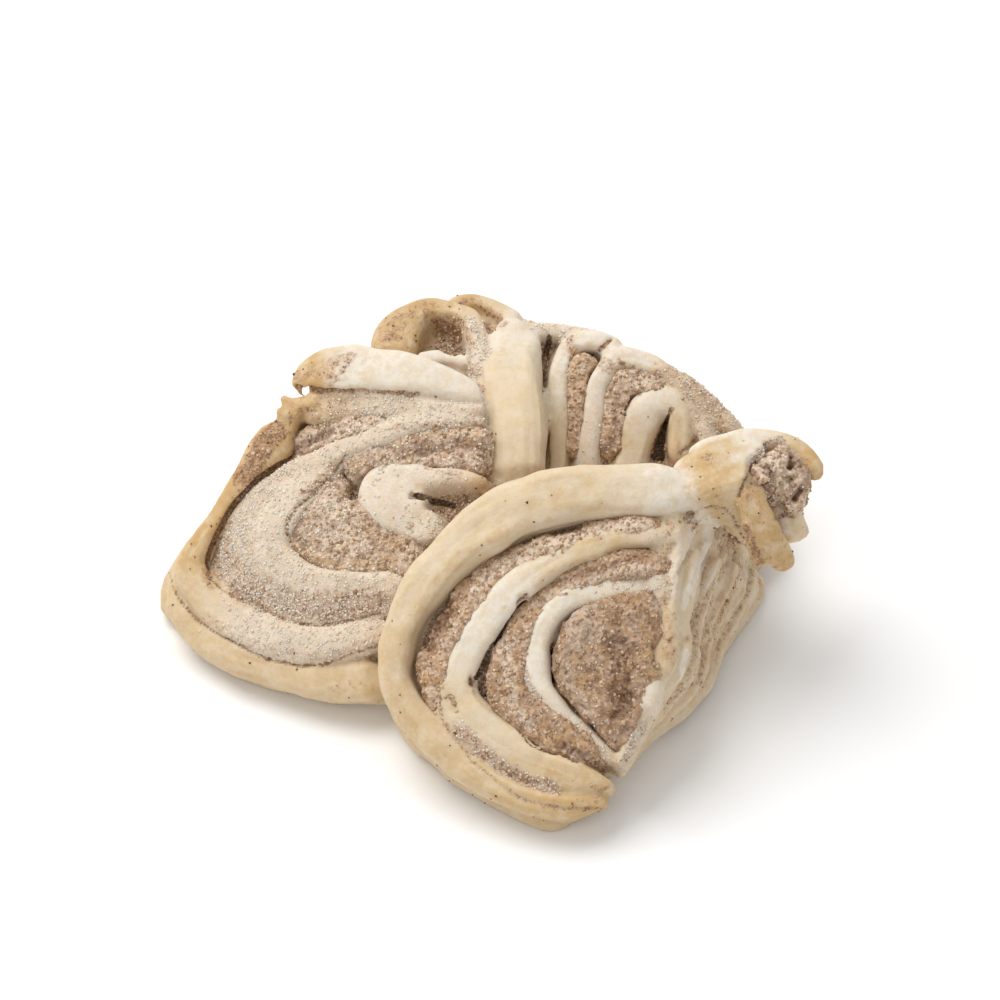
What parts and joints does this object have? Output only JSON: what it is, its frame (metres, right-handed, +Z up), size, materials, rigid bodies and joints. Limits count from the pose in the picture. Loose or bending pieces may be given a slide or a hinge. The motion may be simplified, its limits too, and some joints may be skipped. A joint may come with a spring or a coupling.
{
  "type": "cinnamon bun",
  "caption": "Raw cinnamon bun: a pressed roll whose spiral layers of floured dough and cinnamon filling open in leaning lobes, with a curl at one side.",
  "frame": {"origin": "middle of the bun's box on the surface that it lies on, level with its flat underside", "axes": "+Z up; +X to the right and -Y to the front, for a person who stands in front of the bun as it was pictured"},
  "size_m": [0.0992, 0.0873, 0.0355],
  "materials": {
    "dough": "soft matt raw dough, pale cream, dusted with flour and sugar",
    "filling": "crumbly matt brown paste of sugar, butter and ground cinnamon"
  },
  "bodies": {
    "root": {"dough": "dough", "filling_front_outer": "filling", "filling_front_inner": "filling", "filling_front_middle": "filling", "filling_left_outer": "filling", "filling_left_top": "filling", "filling_left_middle": "filling", "filling_back_outer": "filling", "filling_back_inner": "filling", "filling_curl": "filling"}
  },
  "joints": []
}
